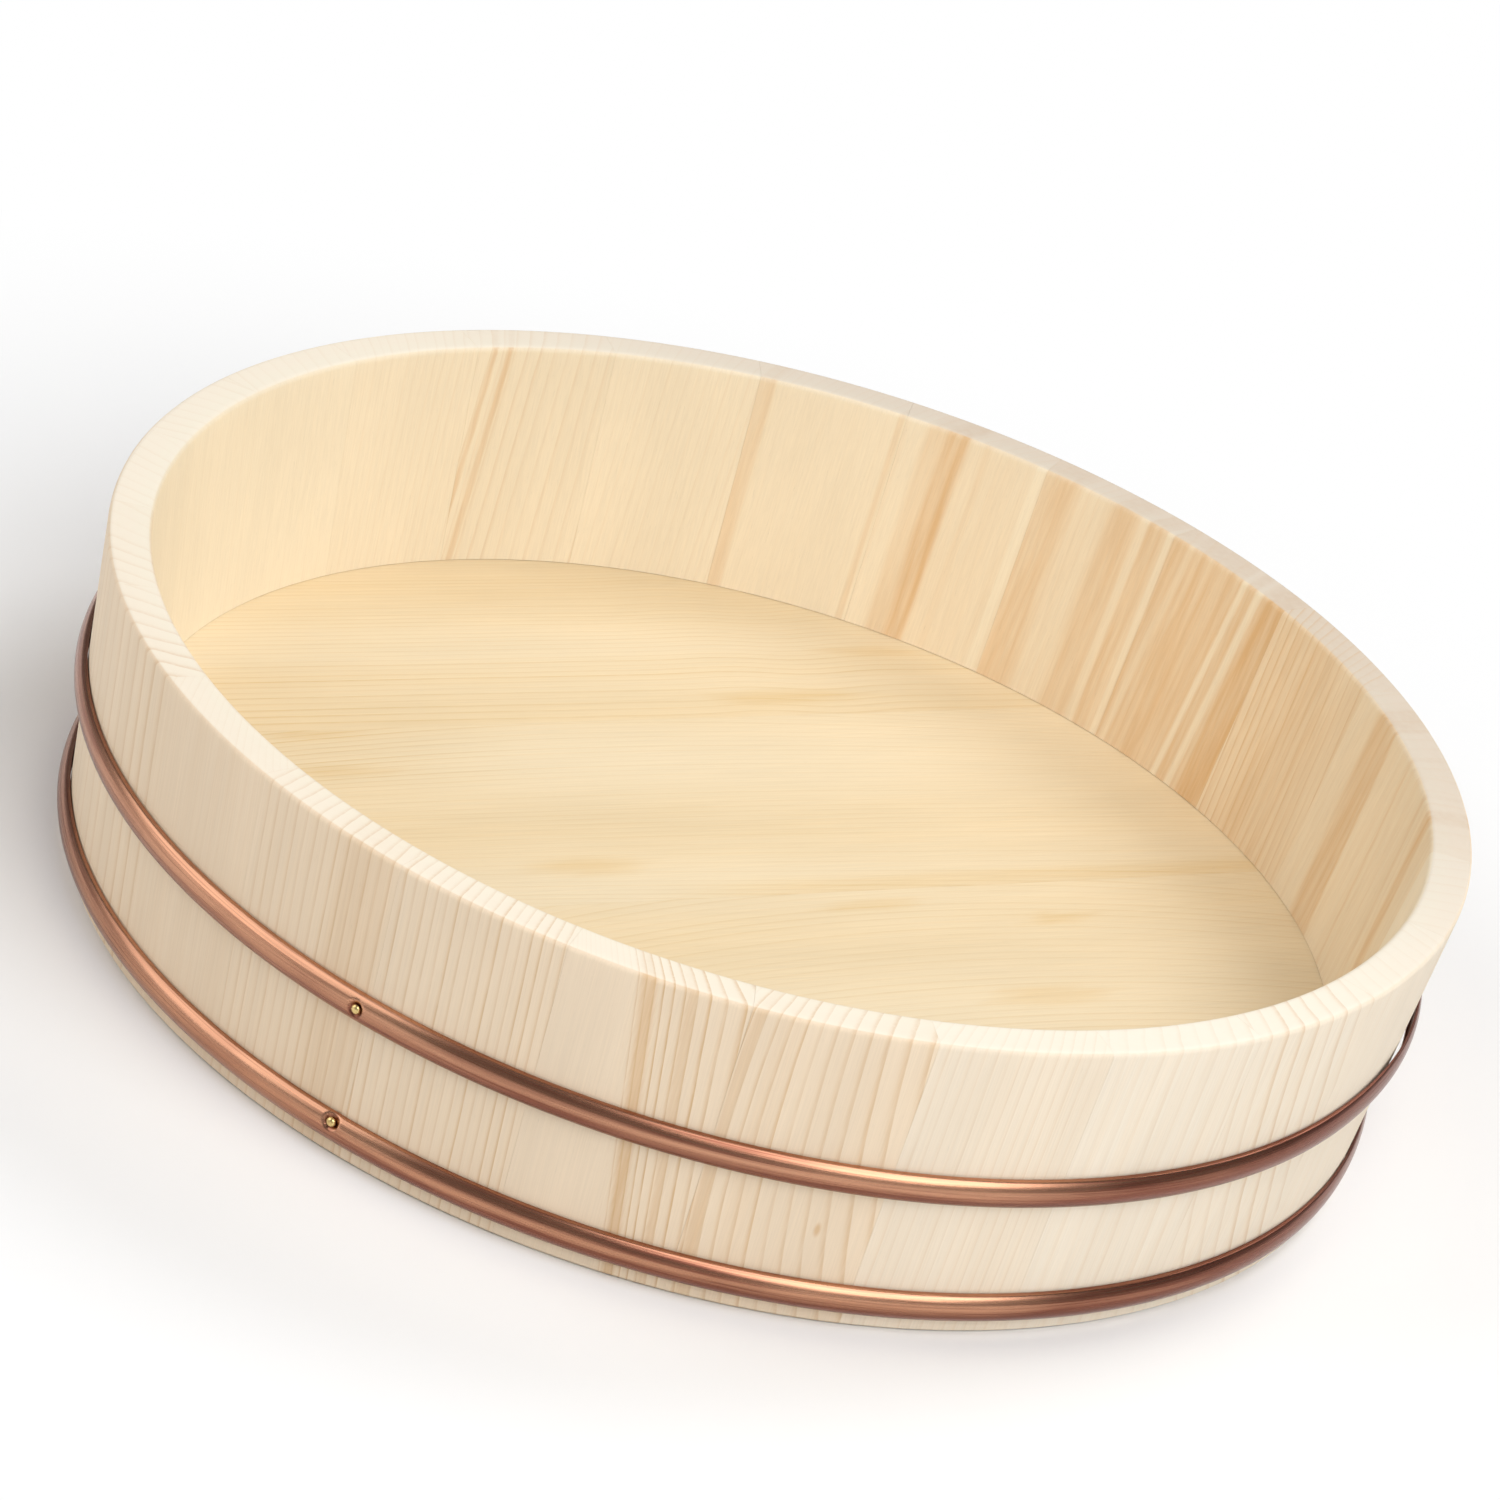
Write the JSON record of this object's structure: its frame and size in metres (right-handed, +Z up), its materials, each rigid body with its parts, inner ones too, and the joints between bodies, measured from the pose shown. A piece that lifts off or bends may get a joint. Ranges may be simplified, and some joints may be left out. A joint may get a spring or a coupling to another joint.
{
  "type": "sushi rice tub",
  "caption": "Shallow round wooden tub of tapered staves on a grooved-in board bottom, bound by half-round copper hoops, for cooling and dressing sushi rice.",
  "frame": {"origin": "on the table, under the middle of the tub", "axes": "+Z up along the tub's axis, out of its mouth; -Y towards the viewer of the picture"},
  "size_m": [0.3298, 0.3298, 0.0785],
  "materials": {
    "stave_wood": "bare planed softwood, pale cream with fine straight grain",
    "floor_wood": "bare planed softwood, warm cream with fine straight grain",
    "bamboo": "split bamboo, hidden inside the bottom",
    "copper": "plain drawn copper with a satin sheen",
    "brass": "bright brass nail head"
  },
  "bodies": {
    "root": {"stave_01": "stave_wood", "stave_02": "stave_wood", "stave_03": "stave_wood", "stave_04": "stave_wood", "stave_05": "stave_wood", "stave_06": "stave_wood", "stave_07": "stave_wood", "stave_08": "stave_wood", "stave_09": "stave_wood", "stave_10": "stave_wood", "stave_11": "stave_wood", "stave_12": "stave_wood", "stave_13": "stave_wood", "stave_14": "stave_wood", "stave_15": "stave_wood", "stave_16": "stave_wood", "stave_17": "stave_wood", "stave_18": "stave_wood", "stave_19": "stave_wood", "stave_20": "stave_wood", "stave_21": "stave_wood", "stave_22": "stave_wood", "stave_23": "stave_wood", "stave_24": "stave_wood", "stave_25": "stave_wood", "bottom_board_1": "floor_wood", "bottom_board_2": "floor_wood", "bottom_board_3": "floor_wood", "bottom_board_4": "floor_wood", "bottom_pin_1": "bamboo", "bottom_pin_2": "bamboo", "bottom_pin_3": "bamboo", "bottom_pin_4": "bamboo", "bottom_pin_5": "bamboo", "bottom_pin_6": "bamboo", "hoop_upper": "copper", "hoop_lower": "copper", "hoop_nail_upper": "brass", "hoop_nail_lower": "brass"}
  },
  "joints": []
}
